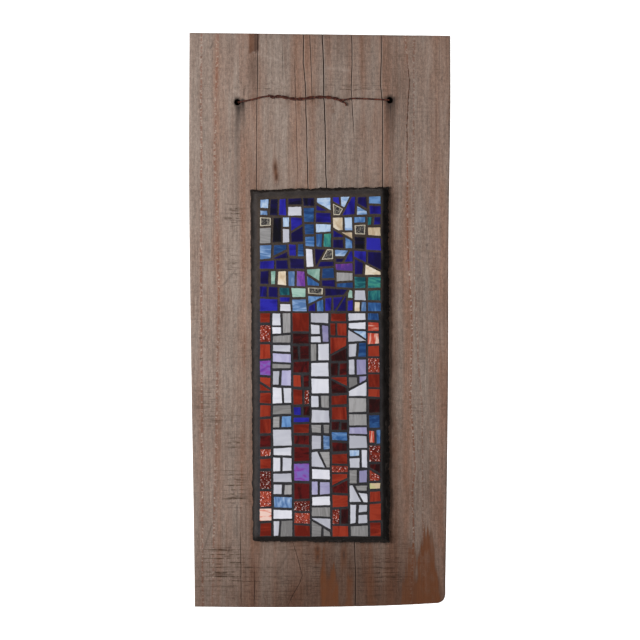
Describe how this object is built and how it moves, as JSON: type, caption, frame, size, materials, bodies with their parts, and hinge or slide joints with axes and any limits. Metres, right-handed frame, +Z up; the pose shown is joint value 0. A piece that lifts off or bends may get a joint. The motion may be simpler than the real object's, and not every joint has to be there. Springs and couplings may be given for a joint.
{
  "type": "mosaic wall panel",
  "caption": "Upright wall panel: a slate slab with a coloured-glass mosaic in dark grout, mounted on a weathered sawn board that hangs by a twisted wire.",
  "frame": {"origin": "where a nail in the wall carries the wire, in the plane of the board's back", "axes": "+X to the viewer's right, +Z up, and the front faces -Y"},
  "size_m": [0.2616, 0.0406, 0.5749],
  "materials": {
    "weathered_wood": "rough-sawn softwood, weathered grey-brown, dry and matt, with drying checks",
    "slate": "riven dark grey slate with chisel-dressed edges, matt",
    "dark_grout": "sanded dark grey-brown cement grout, matt",
    "rusty_wire": "mild steel wire with brown rust",
    "cobalt_glass": "cobalt blue stained glass, smooth and glossy",
    "ultramarine_glass": "deep ultramarine stained glass, smooth and glossy",
    "midnight_glass": "blue-black cathedral glass, glossy",
    "azure_glass": "mid-blue streaky glass, glossy",
    "sky_glass": "pale blue wispy glass, glossy",
    "teal_glass": "teal glass, rippled and glossy",
    "sea_glass": "pale sea-green opal glass, satin gloss",
    "cream_glass": "cream opal glass with a silvered crackle, glossy",
    "violet_glass": "violet glass with a lustre, glossy",
    "lime_glass": "lime glass with a pearly lustre, glossy",
    "white_glass": "white opal glass, glossy",
    "grey_glass": "warm grey opal glass, glossy",
    "lilac_glass": "lilac-white opal glass, glossy",
    "brick_glass": "opaque brick-red glass, glossy",
    "maroon_glass": "dark red cathedral glass, glossy",
    "hammered_glass": "hammered red glass, with dimples that glint",
    "coral_glass": "coral and white wispy glass, glossy"
  },
  "bodies": {
    "root": {"board": "weathered_wood", "brick_tessera_02": "brick_glass", "brick_tessera_15": "brick_glass", "brick_tessera_17": "brick_glass", "brick_tessera_19": "brick_glass", "brick_tessera_26": "brick_glass", "brick_tessera_30": "brick_glass", "brick_tessera_42": "brick_glass", "brick_tessera_46": "brick_glass", "brick_tessera_48": "brick_glass", "brick_tessera_49": "brick_glass", "brick_tessera_51": "brick_glass", "brick_tessera_54": "brick_glass", "cobalt_tessera_11": "cobalt_glass", "cobalt_tessera_22": "cobalt_glass", "grey_tessera_05": "grey_glass", "grey_tessera_16": "grey_glass", "grey_tessera_20": "grey_glass", "grey_tessera_21": "grey_glass", "grey_tessera_33": "grey_glass", "grey_tessera_38": "grey_glass", "grey_tessera_41": "grey_glass", "grey_tessera_50": "grey_glass", "grout_bed": "dark_grout", "hammered_tessera_13": "hammered_glass", "hammered_tessera_25": "hammered_glass", "hammered_tessera_27": "hammered_glass", "hammered_tessera_28": "hammered_glass", "hammered_tessera_37": "hammered_glass", "hammered_tessera_44": "hammered_glass", "hanging_wire": "rusty_wire", "lilac_tessera_45": "lilac_glass", "lilac_tessera_53": "lilac_glass", "maroon_tessera_06": "maroon_glass", "maroon_tessera_10": "maroon_glass", "maroon_tessera_24": "maroon_glass", "maroon_tessera_36": "maroon_glass", "maroon_tessera_43": "maroon_glass", "midnight_tessera_12": "midnight_glass", "sky_tessera_14": "sky_glass", "sky_tessera_32": "sky_glass", "sky_tessera_47": "sky_glass", "slate_slab": "slate", "ultramarine_tessera_18": "ultramarine_glass", "violet_tessera_03": "violet_glass", "violet_tessera_39": "violet_glass", "white_tessera_01": "white_glass", "white_tessera_04": "white_glass", "white_tessera_07": "white_glass", "white_tessera_08": "white_glass", "white_tessera_09": "white_glass", "white_tessera_23": "white_glass", "white_tessera_29": "white_glass", "white_tessera_31": "white_glass", "white_tessera_34": "white_glass", "white_tessera_35": "white_glass", "white_tessera_40": "white_glass", "white_tessera_52": "white_glass"}
  },
  "joints": []
}
